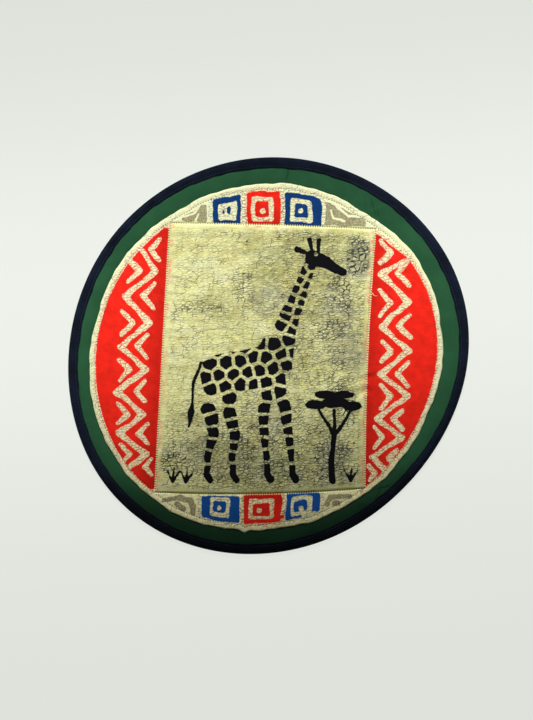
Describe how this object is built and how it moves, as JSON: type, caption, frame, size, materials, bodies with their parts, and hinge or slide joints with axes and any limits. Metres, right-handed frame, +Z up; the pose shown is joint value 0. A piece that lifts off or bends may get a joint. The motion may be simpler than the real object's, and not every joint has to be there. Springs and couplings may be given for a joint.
{
  "type": "batik placemat",
  "caption": "Round quilted table mat: a wax-resist dyed cotton disc with a padded panel, sewn onto padded green cloth whose edge is bound in folded navy tape.",
  "frame": {"origin": "on the surface that the mat lies on, under the middle of the mat's box", "axes": "+Z up out of the mat's face, +Y towards the top edge of its panel, +X to the right as it is seen"},
  "size_m": [0.3522, 0.3486, 0.006],
  "materials": {
    "green_cotton": "matt plain-weave cotton",
    "dyed_cotton": "matt cotton, cream with red, blue, grey and black dye and fine wax crackle",
    "navy_tape": "matt cotton tape"
  },
  "bodies": {
    "root": {"green_cloth": "green_cotton", "dyed_disc": "dyed_cotton", "edge_tape": "navy_tape"}
  },
  "joints": []
}
